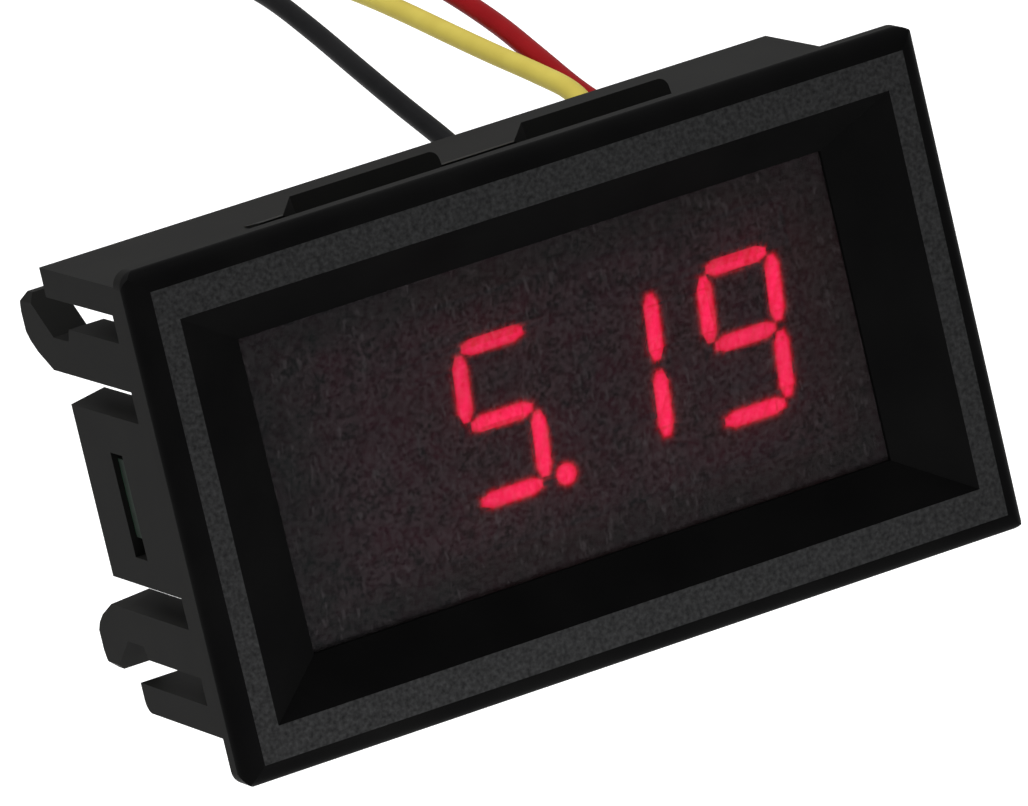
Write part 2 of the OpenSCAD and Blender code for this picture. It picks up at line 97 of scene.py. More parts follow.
class Look:
    """A material built round one Principled shader; colours are linear."""

    def __init__(self, name, colour, roughness, specular=0.5, metallic=0.0):
        self.material = bpy.data.materials.new(name)
        self.material.use_nodes = True
        self.tree = self.material.node_tree
        self.shader = self.tree.nodes["Principled BSDF"]
        self.set("Base Color", (*colour, 1))
        self.set("Roughness", roughness)
        self.set("Specular IOR Level", specular)
        self.set("Metallic", metallic)
        self.place = self.add("ShaderNodeTexCoord").outputs["Object"]

    def add(self, kind, **settings):
        """A new node of a kind, with its settings."""
        node = self.tree.nodes.new(kind)
        for name, value in settings.items():
            setattr(node, name, value)
        return node

    def set(self, socket, value):
        """Gives one of the shader's own sockets a plain value, by its name."""
        self.shader.inputs[socket].default_value = value

    def join(self, value, socket):
        """Feeds a socket with another socket's value, or with a plain number."""
        if isinstance(value, bpy.types.NodeSocket):
            self.tree.links.new(value, socket)
        else:
            socket.default_value = value

    def math(self, operation, *values):
        """Arithmetic or a comparison on sockets and plain numbers."""
        node = self.add("ShaderNodeMath", operation=operation)
        for value, socket in zip(values, node.inputs):
            self.join(value, socket)
        return node.outputs[0]

    def part_of(self, vector):
        """The X, Y and Z of a vector socket."""
        node = self.add("ShaderNodeSeparateXYZ")
        self.join(vector, node.inputs[0])
        return node.outputs

    def stretched(self, along):
        """The place in the part's frame, each axis multiplied by its own number."""
        node = self.add("ShaderNodeVectorMath", operation="MULTIPLY")
        self.join(self.place, node.inputs[0])
        node.inputs[1].default_value = along
        return node.outputs[0]

    def noise(self, grain, detail=2.0, place=None):
        """Noise from 0 to 1 whose blotches are about one grain across, in metres."""
        node = self.add("ShaderNodeTexNoise")
        self.join(place or self.place, node.inputs["Vector"])
        node.inputs["Scale"].default_value = 1 / grain
        node.inputs["Detail"].default_value = detail
        return node.outputs["Fac"]

    def ramp(self, value, low, high, to_low=0.0, to_high=1.0):
        """The value, read between low and high, as a number between two others."""
        node = self.add("ShaderNodeMapRange")
        for socket, number in zip(node.inputs, (value, low, high, to_low, to_high)):
            self.join(number, socket)
        return node.outputs[0]

    def mix(self, share, first, second):
        """Two colours mixed by a share from 0 to 1."""
        node = self.add("ShaderNodeMix", data_type="RGBA")
        self.join(share, node.inputs["Factor"])
        for colour, socket in ((first, node.inputs[6]), (second, node.inputs[7])):
            self.join((*colour, 1) if isinstance(colour, tuple) else colour, socket)
        return node.outputs[2]

    def bump(self, height, depth, strength):
        """Roughens the surface by a height from 0 to 1, on top of any bump before it."""
        node = self.add("ShaderNodeBump")
        self.join(strength, node.inputs["Strength"])
        node.inputs["Distance"].default_value = depth
        self.join(height, node.inputs["Height"])
        before = self.shader.inputs["Normal"].links
        if before:
            self.tree.links.new(before[0].from_socket, node.inputs["Normal"])
        self.join(node.outputs[0], self.shader.inputs["Normal"])

    def feed(self, socket, value):
        """Joins another socket to one of the shader's own sockets, by its name."""
        self.join(value, self.shader.inputs[socket])


def housing_look():
    """Black moulding: grained on the bezel's flat front, with a polish on its round edge and in the
    recess, and plain everywhere behind. The round edge and the recess are darker, partly from the polish
    and partly as painted shade."""
    look = Look("black_moulding", (0.0085, 0.0085, 0.0086), 0.5, specular=0.011)
    x, y, z = look.part_of(look.place)
    flat_front = look.math("LESS_THAN", y, housing_low[1] + HAIR)
    round_edge = look.math("LESS_THAN", y, housing_low[1] + EDGE_ROUND)
    across = look.math("DIVIDE", look.math("ABSOLUTE", x), RECESS_WIDTH / 2 + HAIR)
    upward = look.math("DIVIDE", look.math("ABSOLUTE", z), RECESS_HEIGHT / 2 + HAIR)
    in_recess = look.math("LESS_THAN", look.math("MAXIMUM", across, upward), 1)
    ahead = look.math("LESS_THAN", y, film_low[1] + HAIR)
    # Round edge and recess ahead of the film: smoother, and painted darker as shade
    polished_and_shaded = look.math("MAXIMUM", round_edge, look.math("MULTIPLY", in_recess, ahead))
    grain = look.noise(0.24 * MM, 5)
    cloud = look.ramp(look.noise(5 * MM, 3), 0.3, 0.7)
    grained = look.mix(look.ramp(grain, 0.28, 0.78), (0.0125, 0.0127, 0.0129), (0.037, 0.0375, 0.038))
    # Darker colour of the round edge and the recess: partly the polish, partly painted shade
    smooth = look.mix(cloud, (0.0032, 0.0032, 0.0033), (0.0045, 0.0045, 0.0045))
    plain = look.mix(cloud, (0.0075, 0.0075, 0.0072), (0.0095, 0.0095, 0.009))
    look.feed("Base Color", look.mix(flat_front, look.mix(polished_and_shaded, plain, smooth), grained))
    look.feed("Roughness", look.ramp(polished_and_shaded, 0, 1, 0.5, 0.35))
    look.feed("Specular IOR Level", look.ramp(polished_and_shaded, 0, 1, 0.011, 0.004))
    look.bump(grain, 0.02 * MM, look.ramp(flat_front, 0, 1, 0.08, 0.3))
    return look.material


def film_look():
    """The film's front layer: smoked, mottled and flecked, and a little see-through. It is painted
    lighter and redder where the display lies against it, as red glow from the lit display."""
    look = Look("smoked_film", (0.0165, 0.0145, 0.0155), 0.55, specular=0.01)
    x, _, z = look.part_of(look.place)
    off_centre = []
    for place, low, high in ((x, case_low[0], case_high[0]), (z, case_low[2], case_high[2])):
        offset = look.math("ABSOLUTE", look.math("SUBTRACT", place, (low + high) / 2))
        off_centre.append(look.math("DIVIDE", offset, (high - low) / 2))
    # Share of painted red glow from the lit display: full over the display, fading at its edges
    painted_display_glow = look.ramp(look.math("MAXIMUM", *off_centre), 0.85, 1.1, 1, 0)
    patch = look.ramp(look.noise(1.3 * MM, 4), 0.38, 0.62)
    mottle = look.ramp(look.noise(0.26 * MM, 7), 0.38, 0.64)
    streak = look.ramp(look.noise(0.7 * MM, 5, look.stretched((2.4, 1, 0.9))), 0.6, 0.7)
    beside = look.mix(patch, (0.0105, 0.0115, 0.012), (0.014, 0.011, 0.0125))
    beside = look.mix(mottle, beside, (0.022, 0.0205, 0.0215))
    # Over the display the film is painted lighter and redder, with red blotches, as glow from the lit
    # display
    behind = look.mix(patch, (0.013, 0.0115, 0.0125), (0.022, 0.0105, 0.014))
    behind = look.mix(mottle, behind, (0.0355, 0.0258, 0.0293))
    film = look.mix(painted_display_glow, beside, behind)
    film = look.mix(look.math("MULTIPLY", streak, 0.4), film, (0.06, 0.054, 0.057))
    look.feed("Base Color", film)
    look.set("Alpha", 1 - FILM_CLEAR)
    look.bump(mottle, 0.02 * MM, 0.25)
    return look.material


def glow_look():
    """The film's rear layer: it carries the blurred light of the lit bars."""
    look = Look("film_glow", (0.02, 0.012, 0.013), 0.8, specular=0.0)
    glow = look.add("ShaderNodeAttribute", attribute_name="glow").outputs["Fac"]
    edge_red = look.mix(look.ramp(glow, 0.35, 1), (1, 0.001, 0.018), (1, 0.013, 0.098))
    look.feed("Emission Color", edge_red)
    uneven = look.ramp(look.noise(4 * MM, 1), 0.36, 0.6, 0.82 / FILM_CLEAR, 1 / FILM_CLEAR)
    look.feed("Emission Strength", look.math("MULTIPLY", glow, uneven))
    return look.material


def case_look():
    """Dull dark plastic of the display's case."""
    look = Look("display_case", (0.012, 0.012, 0.0125), 0.6, specular=0.2)
    look.bump(look.noise(0.2 * MM), 0.01 * MM, 0.4)
    return look.material


def dark_bar_look():
    """Milky resin of the bars that are off: dull grey."""
    look = Look("milky_resin", (0.05, 0.045, 0.044), 0.5, specular=0.3)
    cloud = look.noise(0.8 * MM)
    look.feed("Base Color", look.mix(cloud, (0.03, 0.027, 0.027), (0.06, 0.055, 0.053)))
    return look.material


def lit_bar_look():
    """Milky resin lit from behind, a little uneven in colour."""
    look = Look("lit_resin", (0.3, 0.02, 0.03), 0.5, specular=0.2)
    cloud = look.ramp(look.noise(1.1 * MM), 0.3, 0.7)
    look.feed("Emission Color", look.mix(cloud, (1, 0.011, 0.05), (1, 0.016, 0.072)))
    look.set("Emission Strength", 2.6)
    return look.material


def board_look():
    """Green solder mask over glass weave; the cut edges and holes show the dull fibre."""
    look = Look("solder_mask", (0.01, 0.11, 0.045), 0.35, specular=0.3)
    weave = look.noise(0.3 * MM, 2)
    depth = look.part_of(look.place)[1]
    behind_mask = look.math("GREATER_THAN", depth, board_low[1] + MASK)
    ahead_of_mask = look.math("LESS_THAN", depth, board_high[1] - MASK)
    fibre = look.math("MULTIPLY", behind_mask, ahead_of_mask)
    mask = look.mix(weave, (0.006, 0.085, 0.035), (0.016, 0.15, 0.06))
    core = look.mix(look.noise(0.4 * MM, 3), (0.022, 0.028, 0.024), (0.048, 0.062, 0.052))
    look.feed("Base Color", look.mix(fibre, mask, core))
    look.feed("Specular IOR Level", look.ramp(fibre, 0, 1, 0.3, 0.02))
    look.bump(weave, 0.01 * MM, 0.3)
    return look.material


def track_look():
    """Copper under the green coat: lighter than the bare board."""
    look = Look("coated_track", (0.016, 0.2, 0.075), 0.3, specular=0.35)
    weave = look.noise(0.3 * MM, 2)
    look.feed("Base Color", look.mix(weave, (0.012, 0.16, 0.06), (0.02, 0.23, 0.085)))
    return look.material


def print_look():
    """White ink, worn thin in places."""
    look = Look("white_print", (0.7, 0.7, 0.67), 0.6, specular=0.2)
    worn = look.ramp(look.noise(0.12 * MM, 4), 0.3, 0.45)
    look.feed("Base Color", look.mix(worn, (0.4, 0.45, 0.4), (0.74, 0.74, 0.71)))
    return look.material


def moulded_chip_look():
    """Black epoxy with a fine matt grain."""
    look = Look("moulded_epoxy", (0.018, 0.018, 0.019), 0.6, specular=0.25)
    grain = look.noise(0.09 * MM, 3)
    look.feed("Base Color", look.mix(grain, (0.012, 0.012, 0.0125), (0.03, 0.03, 0.032)))
    look.bump(grain, 0.01 * MM, 0.5)
    return look.material


def ceramic_look():
    """Tan ceramic of the capacitors."""
    look = Look("sintered_ceramic", (0.42, 0.28, 0.16), 0.5, specular=0.4)
    grain = look.noise(0.12 * MM, 3)
    look.feed("Base Color", look.mix(grain, (0.34, 0.22, 0.12), (0.5, 0.35, 0.2)))
    return look.material


def tin_look():
    """Bright tin plating, a little cloudy."""
    look = Look("tin_plating", (0.78, 0.77, 0.74), 0.28, metallic=1)
    cloud = look.noise(0.4 * MM, 3)
    look.feed("Roughness", look.ramp(cloud, 0.3, 0.7, 0.2, 0.4))
    return look.material


def solder_look():
    """Smooth solder, slightly uneven."""
    look = Look("solder", (0.68, 0.69, 0.7), 0.22, metallic=1)
    cloud = look.noise(0.5 * MM, 2)
    look.feed("Roughness", look.ramp(cloud, 0.3, 0.7, 0.15, 0.35))
    look.bump(cloud, 0.02 * MM, 0.4)
    return look.material


def insulation_look(name, light, deep):
    """Soft lead insulation, a little uneven in colour along its length."""
    look = Look(name, light, 0.42, specular=0.015)
    cloud = look.noise(3 * MM, 3)
    look.feed("Base Color", look.mix(look.ramp(cloud, 0.3, 0.7), deep, light))
    look.bump(look.noise(0.35 * MM), 0.01 * MM, 0.3)
    return look.material


TIN = tin_look()
CHIP = moulded_chip_look()
DARK_BAR = dark_bar_look()
LIT_BAR = lit_bar_look()

NODE_LOOKS = {
    "housing": housing_look(),
    "display_case": case_look(),
    "digit_1_dark_segments": DARK_BAR,
    "digit_2_lit_segments": LIT_BAR,
    "digit_2_dark_segments": DARK_BAR,
    "digit_3_lit_segments": LIT_BAR,
    "digit_3_dark_segments": DARK_BAR,
    "digit_4_lit_segments": LIT_BAR,
    "digit_4_dark_segments": DARK_BAR,
    "lit_decimal_point": LIT_BAR,
    "dark_decimal_points": DARK_BAR,
    "display_pins": TIN,
    "circuit_board": board_look(),
    "microcontroller": CHIP,
    "microcontroller_leads": TIN,
    "voltage_regulator": CHIP,
    "regulator_leads": TIN,
    "protection_diode": CHIP,
    "diode_terminals": TIN,
    "chip_resistors": CHIP,
    "chip_capacitors": ceramic_look(),
    "chip_end_caps": TIN,
    "solder_joints": solder_look(),
    "lead_conductors": TIN,
}

for node_name, node_look in NODE_LOOKS.items():
    for slot in nodes[node_name].material_slots:
        slot.material = node_look


def finish_piece(name, mesh, material):
    """Turns a bmesh into a piece of the object, with its material, hung under the root body."""
    bmesh.ops.recalc_face_normals(mesh, faces=mesh.faces)
    data = bpy.data.meshes.new(name)
    mesh.to_mesh(data)
    mesh.free()
    data.materials.append(material)
    piece = bpy.data.objects.new(name, data)
    bpy.context.scene.collection.objects.link(piece)
    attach(piece, "root")
    return piece


# ---------------------------------------------------------------- the leads

LEAD_WIDTH = 1.2 * MM
LEAD_SIDES = 20
TIP_WIDTH = 0.6 * MM
TIP_LENGTH = 4 * MM
STRANDS = 6  # round one in the middle
STRAND_SIDES = 8
STRAND_STEPS = 16
STRAND_TURNS = 1.2
STRAND_PRESS = 0.98  # from the middle strand to one of the others, in strand widths
STRAND_STAGGER = 0.02  # share by which the strands differ in length, in turns of three
ROUTE_STEPS = 6  # between two points of a route

BLACK_ROUTE = [
    (5.6, 12.2, 8.4), (5.6, 14, 8.4), (5.6, 16.6, 8.9), (5.6, 20, 9.9), (5.7, 24, 11.1),
    (5.8, 28.8, 12.4), (6.1, 34.8, 13.9), (6.4, 41, 15.5), (6.5, 46.5, 16.9), (6.5, 52, 17.8),
    (6.5, 57.5, 18.3), (6.4, 63, 18.4), (6.3, 68.5, 18.1), (6.2, 74, 17.5), (6.1, 79.5, 16.6),
    (6, 85, 15.7), (6, 90, 14.7), (6, 95, 13), (6, 99.5, 10.8), (6, 103.5, 8.2), (6, 107, 5.1),
]
YELLOW_ROUTE = [
    (13, 12.2, 8.4), (13, 14, 8.4), (13.2, 16.6, 9), (13.6, 20, 10.1), (14.1, 24, 11.2),
    (14.2, 28.5, 11.8), (14.2, 34.8, 12.5), (14.2, 40.5, 13.2), (14.2, 46, 13.9), (14.2, 51.5, 14.5),
    (14.1, 57, 15), (14, 62.5, 15.2), (13.8, 68, 15.3), (13.5, 73.5, 15.2), (13.1, 79, 14.9),
    (12.6, 84.5, 14.5), (12.1, 89.5, 14), (11.5, 94.5, 13.4), (10.9, 99.5, 12.7), (10.3, 104, 12),
    (9.7, 108, 11.3),
]
RED_ROUTE = [
    (16, 12.2, 8.4), (16, 14, 8.4), (15.9, 17, 8.7), (15.7, 20, 9.2), (15.5, 23, 9.9),
    (15.4, 26.5, 10.8), (15.7, 32, 12.2), (16, 37, 13.4), (16.1, 42.5, 14.6), (16.1, 48, 15.6),
    (16.1, 53.5, 16.4), (16, 59, 16.9), (15.8, 64.5, 17.1), (15.6, 70, 17.1), (15.3, 75.5, 16.9),
    (14.9, 81, 16.5), (14.5, 86.5, 15.9), (14, 92, 15.1), (13.5, 97.5, 14.1), (13, 103, 12.9),
    (12.5, 108, 11.6),
]


def smooth_path(route):
    """A smooth line in metres through a route's points in millimetres."""
    points = [Vector(point) * MM for point in route]
    padded = [2 * points[0] - points[1], *points, 2 * points[-1] - points[-2]]
    path = []
    for i in range(len(points) - 1):
        before, start, end, after = padded[i:i + 4]
        for step in range(ROUTE_STEPS):
            t = step / ROUTE_STEPS
            bend = (before * (2 * t**2 - t - t**3) + after * (t**3 - t**2)) / 2
            hold = (start * (3 * t**3 - 5 * t**2 + 2) + end * (t + 4 * t**2 - 3 * t**3)) / 2
            path.append(bend + hold)
    path.append(points[-1])
    return path


def add_tube(mesh, path, width, sides):
    """Sweeps a round tube with closed ends along a path into a mesh."""
    rings = []
    for i, point in enumerate(path):
        ahead = (path[min(i + 1, len(path) - 1)] - path[max(i - 1, 0)]).normalized()
        across = ahead.cross(Vector((0, 0, 1))).normalized()
        up = across.cross(ahead)
        ring = []
        for side in range(sides):
            turn = 2 * math.pi * side / sides
            offset = math.cos(turn) * across + math.sin(turn) * up
            ring.append(mesh.verts.new(point + offset * width / 2))
        rings.append(ring)
    for ring, after in zip(rings, rings[1:]):
        for side in range(sides):
            other = (side + 1) % sides
            face = mesh.faces.new((ring[side], after[side], after[other], ring[other]))
            face.smooth = True
    mesh.faces.new(rings[0])
    mesh.faces.new(rings[-1][::-1])


def make_tip(name, end, ahead):
    """The twisted, tinned strands at the end of a lead."""
    across = ahead.cross(Vector((0, 0, 1))).normalized()
    up = across.cross(ahead)
    strand_width = TIP_WIDTH / 3  # three strands side by side
    mesh = bmesh.new()
    for strand in range(STRANDS + 1):
        off_axis = strand_width * STRAND_PRESS if strand else 0
        length = TIP_LENGTH * (1 - STRAND_STAGGER * (strand % 3))
        path = []
        for step in range(STRAND_STEPS + 1):
            share = step / STRAND_STEPS
            turn = 2 * math.pi * (strand / STRANDS + STRAND_TURNS * share)
            offset = math.cos(turn) * across + math.sin(turn) * up
            path.append(end + ahead * length * share + offset * off_axis)
        add_tube(mesh, path, strand_width, STRAND_SIDES)
    return finish_piece(name, mesh, TIN)


def make_lead(colour, route, material):
    """One lead and its bare end."""
    path = smooth_path(route)
    mesh = bmesh.new()
    add_tube(mesh, path, LEAD_WIDTH, LEAD_SIDES)
    lead = finish_piece(f"{colour}_lead", mesh, material)
    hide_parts(f"lead_{colour}")
    tip = make_tip(f"{colour}_lead_strands", path[-1], (path[-1] - path[-2]).normalized())
    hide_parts("lead_tips")


# Each lead's route, and the lighter and the deeper of its two mingled colours
INSULATION = {
    "black": (BLACK_ROUTE, (0.01, 0.01, 0.0105), (0.006, 0.006, 0.0065)),
    "yellow": (YELLOW_ROUTE, (0.56, 0.465, 0.092), (0.5, 0.405, 0.076)),
    "red": (RED_ROUTE, (0.255, 0.0065, 0.0085), (0.21, 0.0045, 0.0065)),
}

for colour_name, (lead_route, light_colour, deep_colour) in INSULATION.items():
    insulation = insulation_look(f"{colour_name}_insulation", light_colour, deep_colour)
    make_lead(colour_name, lead_route, insulation)

# ---------------------------------------------------------------- the film and the glow in it

LIT_NODES = [name for name, look in NODE_LOOKS.items() if look == LIT_BAR]
SIDEWAYS = 0.5  # a face whose normal has less Y than this is a wall of its bar
ON_BAR = 0.001 * MM  # nearer than this to a bar's front face is on the bar
GLOW_SLOT = 1  # the film's second material
GLOW_GRID = 0.1 * MM  # mesh width of the film's rear
GLOW_BLUR = 0.07 * MM
HALOS = ((0.03, 0.3 * MM), (0.009, 2.5 * MM))  # brightness beside a bar, and how far it reaches


def lit_tree(wanted):
    """A search tree over the faces of the lit bars whose normal passes a test."""
    corners = []
    faces = []
    for name in LIT_NODES:
        data = nodes[name].data
        first = len(corners)
        corners.extend(vertex.co.copy() for vertex in data.vertices)
        faces.extend([first + i for i in face.vertices] for face in data.polygons if wanted(face.normal))
    return BVHTree.FromPolygons(corners, faces)


def make_glow():
    """Returns a function that gives the brightness of the film at an X and a Z: full on a lit
    bar, blurred at the bar's outline, with a faint halo further out."""
    fronts = lit_tree(lambda normal: normal.y < -SIDEWAYS)
    walls = lit_tree(lambda normal: abs(normal.y) < SIDEWAYS)
    bar_low, bar_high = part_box(LIT_NODES[0])
    bar_front = bar_low[1]
    bar_middle = (bar_front + bar_high[1]) / 2

    def glow(x, z):
        off_front = fronts.find_nearest((x, bar_front, z))[3]
        inward = walls.find_nearest((x, bar_middle, z))[3]
        if off_front > ON_BAR:
            inward = -inward
        halo = sum(bright * math.exp(min(inward, 0) / reach) for bright, reach in HALOS)
        return 1 / (1 + math.exp(-inward / GLOW_BLUR)) + halo

    return glow


def grid_lines(low, high, fine_low, fine_high):
    """Places from low to high, close together between fine_low and fine_high."""
    steps = round((fine_high - fine_low) / GLOW_GRID)
    fine = [fine_low + (fine_high - fine_low) * i / steps for i in range(steps + 1)]
    return [low, *fine, high]


def make_film():
    """The film as a thin box whose rear is a fine grid that carries the glow of the bars."""
    across = grid_lines(film_low[0], film_high[0], case_low[0], case_high[0])
    upward = grid_lines(film_low[2], film_high[2], case_low[2], case_high[2])
    mesh = bmesh.new()
    rows = [[mesh.verts.new((x, film_high[1], z)) for x in across] for z in upward]
    for row, above in zip(rows, rows[1:]):
        for i in range(len(across) - 1):
            face = mesh.faces.new((row[i], above[i], above[i + 1], row[i + 1]))
            face.material_index = GLOW_SLOT
    corners = ((0, 0), (-1, 0), (-1, -1), (0, -1))
    front = [mesh.verts.new((across[i], film_low[1], upward[j])) for i, j in corners]
    mesh.faces.new(front)
    right = [row[-1] for row in rows]
    left = [row[0] for row in rows[::-1]]
    around = (rows[0], right, rows[-1][::-1], left)
    for side, edge in enumerate(around):
        mesh.faces.new((*edge, front[(side + 1) % 4], front[side]))
    film = finish_piece("smoked_film", mesh, film_look())
    film.data.materials.append(glow_look())
    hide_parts("window_film")
    glow = make_glow()
    brightness = film.data.attributes.new("glow", "FLOAT", "POINT")
    for vertex, value in zip(film.data.vertices, brightness.data):
        value.value = glow(vertex.co.x, vertex.co.z)


make_film()

# ---------------------------------------------------------------- tracks, pads and print on the board

# Sizes in this section are in millimetres, and a place is an X and a Z on the board's rear,
# so that the second of its two numbers is the height


def centre_of(node_name):
    """The place of the middle of a node."""
    low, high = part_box(node_name)
    return Vector([round((low[axis] + high[axis]) / 2 / MM, 3) for axis in (0, 2)])


def start_of(route):
    """The place where a lead leaves the board."""
    x, _, z = route[0]
    return x, z


DISPLAY_AT = centre_of("display_case")
PIN_PITCH = 2.54
PIN_ROW = 5.08  # from the display's middle line
PINS = 6  # in a row
CHIP_LEAD_PITCH = 1.27
CHIP_LEADS = 8  # on a side
CHIP_FOOT = 2.75  # from the chip's middle line to the middle of a pad
REGULATOR_AT = centre_of("voltage_regulator")
REGULATOR_LEAD_PITCH = 1.5
REGULATOR_FOOT = 1.75  # from its middle to the middle of a pad, as for the next two
DIODE_AT = centre_of("protection_diode")
DIODE_FOOT = 1.7
SMALL_CHIP_FOOT = 0.95
RESISTOR_ROWS = 5
RESISTOR_COLUMNS = 2
RESISTOR_ACROSS = 4  # from one column to the next
RESISTOR_UP = 3  # from one row to the next
RESISTORS = [
    (-16.5 + RESISTOR_ACROSS * column, -6 + RESISTOR_UP * row)
    for column in range(RESISTOR_COLUMNS) for row in range(RESISTOR_ROWS)
]
CAPACITOR_ROW = -3.6
CAPACITOR_PITCH = 3.6
CAPACITORS = [(9.6 + CAPACITOR_PITCH * i, CAPACITOR_ROW) for i in range(3)]
BLACK_PAD = start_of(BLACK_ROUTE)
YELLOW_PAD = start_of(YELLOW_ROUTE)
RED_PAD = start_of(RED_ROUTE)
LEAD_ROW = BLACK_PAD[1]
VIAS = [(-8, 0), (9.9, 1.5), (7.2, 0.6)]  # small round pads where thin tracks end

TRACK_LIFT = 0.05
PAD_LIFT = 0.06
PRINT_LIFT = 0.07
CORNER_STEPS = 4  # in a quarter circle

# Pads and marks: width, height and corner radius
CHIP_PAD = (0.65, 1.1, 0.08)
RING_PAD = (2.2, 2.2, 1.1)
SMALL_CHIP_PAD = (0.9, 1.45, 0.1)
REGULATOR_LEAD_PAD = (0.8, 1.2, 0.1)
REGULATOR_TAB_PAD = (2.1, 1.2, 0.1)
DIODE_PAD = (0.9, 1.3, 0.1)
VIA_PAD = (0.6, 0.6, 0.3)
CHIP_MARK = (0.5, 0.5, 0.25)
CHIP_MARK_OFFSET = Vector((5.9, -2.7))

# White outlines: width and height
PRINT_LINE = 0.15
PRINT_CORNER = 0.05
SMALL_CHIP_FRAME = (3.2, 1.9)
CHIP_FRAME = (10.4, 4.15)
REGULATOR_FRAME = (5, 2.8)
DIODE_FRAME = (4.7, 2)

THIN_TRACK = 0.25
BROAD_TRACK = 0.55
FAN_START = 3.5  # from the display's middle line to where the fan's outermost tracks bend
FAN_STEP = 0.35  # how much further out, at least, each next track of the fan bends
RESISTOR_TRACK = 0.9  # from a resistor's middle to the end of a track
GROUND_X = -18.3  # the upright track beside the left-hand resistors

# Signals, from the right-hand resistors, the yellow lead and the chip's outer leads
THIN_TRACKS = [
    [(-11.6, 6), (-7.1, 6), (-6.3, 5.2)],
    [(-11.6, 3), (-4.4, 3)],
    [(-11.6, 0), (-8, 0)],
    [(-11.6, -3), (-4.4, -3)],
    [(-11.6, -6), (-7.3, -6), (-6.3, -5)],
    [YELLOW_PAD, (10.9, LEAD_ROW), (9.9, 7.4), (9.9, 1.5)],
    [(4.5, 3), (6.6, 3), (7.2, 2.4), (7.2, 0.6)],
    [(4.5, -3), (8.7, -3)],
]
# Power, from the black and red leads through the diode and the regulator to the capacitors
BROAD_TRACKS = [
    [(GROUND_X, -6), (GROUND_X, 7.7), (-17.6, LEAD_ROW), BLACK_PAD],
    [BLACK_PAD, (7.5, LEAD_ROW), (8.7, 7.2), (8.7, CAPACITOR_ROW)],
    [RED_PAD, (16, 7.6), (14.4, 6)],
    [(11.1, 6), (11.1, 3.6)],
    [(12.5, 0.1), (12.5, CAPACITOR_ROW)],
    [(14.1, 3.6), (14.1, 4.1), (14.6, 4.6), (17.1, 4.6), (17.7, 4), (17.7, CAPACITOR_ROW)],
    [(10.5, CAPACITOR_ROW), (12.3, CAPACITOR_ROW)],
    [(14.1, CAPACITOR_ROW), (15.9, CAPACITOR_ROW)],
]


def add_raised(mesh, outline, lift):
    """A flat-topped shape on the board, with the given outline."""
    layers = []
    for rise in (-HAIR, lift * MM):
        layers.append([mesh.verts.new((x * MM, board_high[1] + rise, z * MM)) for x, z in outline])
    low, high = layers
    mesh.faces.new(low)
    mesh.faces.new(high[::-1])
    for i in range(len(outline)):
        after = (i + 1) % len(outline)
        mesh.faces.new((low[i], high[i], high[after], low[after]))


def add_plate(mesh, at, width, height, corner, lift):
    """A raised rectangle with round corners, centred on a place."""
    outline = []
    for quarter, (x, z) in enumerate(((1, 1), (-1, 1), (-1, -1), (1, -1))):
        centre = Vector((x * (width / 2 - corner), z * (height / 2 - corner)))
        for step in range(CORNER_STEPS + 1):
            turn = math.pi / 2 * (quarter + step / CORNER_STEPS)
            edge = Vector((math.cos(turn), math.sin(turn))) * corner
            outline.append(Vector(at) + centre + edge)
    add_raised(mesh, outline, lift)


def add_strip(mesh, points, width):
    """A track of even width along a line of places."""
    line = [Vector(point) for point in points]
    left = []
    right = []
    for i, point in enumerate(line):
        near = line[max(i - 1, 0):i + 2]
        ways = [(b - a).normalized() for a, b in zip(near, near[1:])]
        normals = [Vector((-way.y, way.x)) for way in ways]
        first, last = normals[0], normals[-1]
        offset = (first + last) / (1 + first.dot(last)) * width / 2
        left.append(point + offset)
        right.append(point - offset)
    add_raised(mesh, left + right[::-1], TRACK_LIFT)


def add_frame(mesh, at, width, height):
    """A printed rectangle of four thin lines."""
    upright = (PRINT_LINE, height + PRINT_LINE)
    level = (width - PRINT_LINE, PRINT_LINE)
    lines = (
        ((width / 2, 0), upright), ((-width / 2, 0), upright),
        ((0, height / 2), level), ((0, -height / 2), level),
    )
    for offset, size in lines:
        add_plate(mesh, Vector(at) + Vector(offset), *size, PRINT_CORNER, PRINT_LIFT)


def pin_places():
    """The side, the number in its row and the place of each display pin."""
    for side in (1, -1):
        for i in range(PINS):
            yield side, i, DISPLAY_AT + Vector(((i - (PINS - 1) / 2) * PIN_PITCH, side * PIN_ROW))


def chip_foot(side, i):
    """The place of the foot of a chip's lead."""
    return DISPLAY_AT + Vector(((i - (CHIP_LEADS - 1) / 2) * CHIP_LEAD_PITCH, side * CHIP_FOOT))


def add_fan(mesh):
    """Tracks from the chip's inner leads out to the display pins."""
    middle = (PINS - 1) / 2
    for side, i, pin in pin_places():
        foot = chip_foot(side, i + 1)
        across = pin.x - foot.x
        rise = max(FAN_START + FAN_STEP * (middle - abs(i - middle)), PIN_ROW - abs(across))
        bend = DISPLAY_AT.y + side * rise
        run = math.copysign(PIN_ROW - rise, across)
        line = [foot, (foot.x, bend), (pin.x - run, bend), pin]
        if abs(pin.x - run - foot.x) < THIN_TRACK:
            del line[2]
        add_strip(mesh, line, THIN_TRACK)


def make_tracks():
    """Copper tracks under the green coat."""
    mesh = bmesh.new()
    add_fan(mesh)
    for x, z in RESISTORS[:RESISTOR_ROWS]:
        other = x + RESISTOR_ACROSS
        add_strip(mesh, [(x + RESISTOR_TRACK, z), (other - RESISTOR_TRACK, z)], THIN_TRACK)
        add_strip(mesh, [(GROUND_X, z), (x - RESISTOR_TRACK, z)], THIN_TRACK)
    for line in THIN_TRACKS:
        add_strip(mesh, line, THIN_TRACK)
    for line in BROAD_TRACKS:
        add_strip(mesh, line, BROAD_TRACK)
    finish_piece("board_tracks", mesh, track_look())


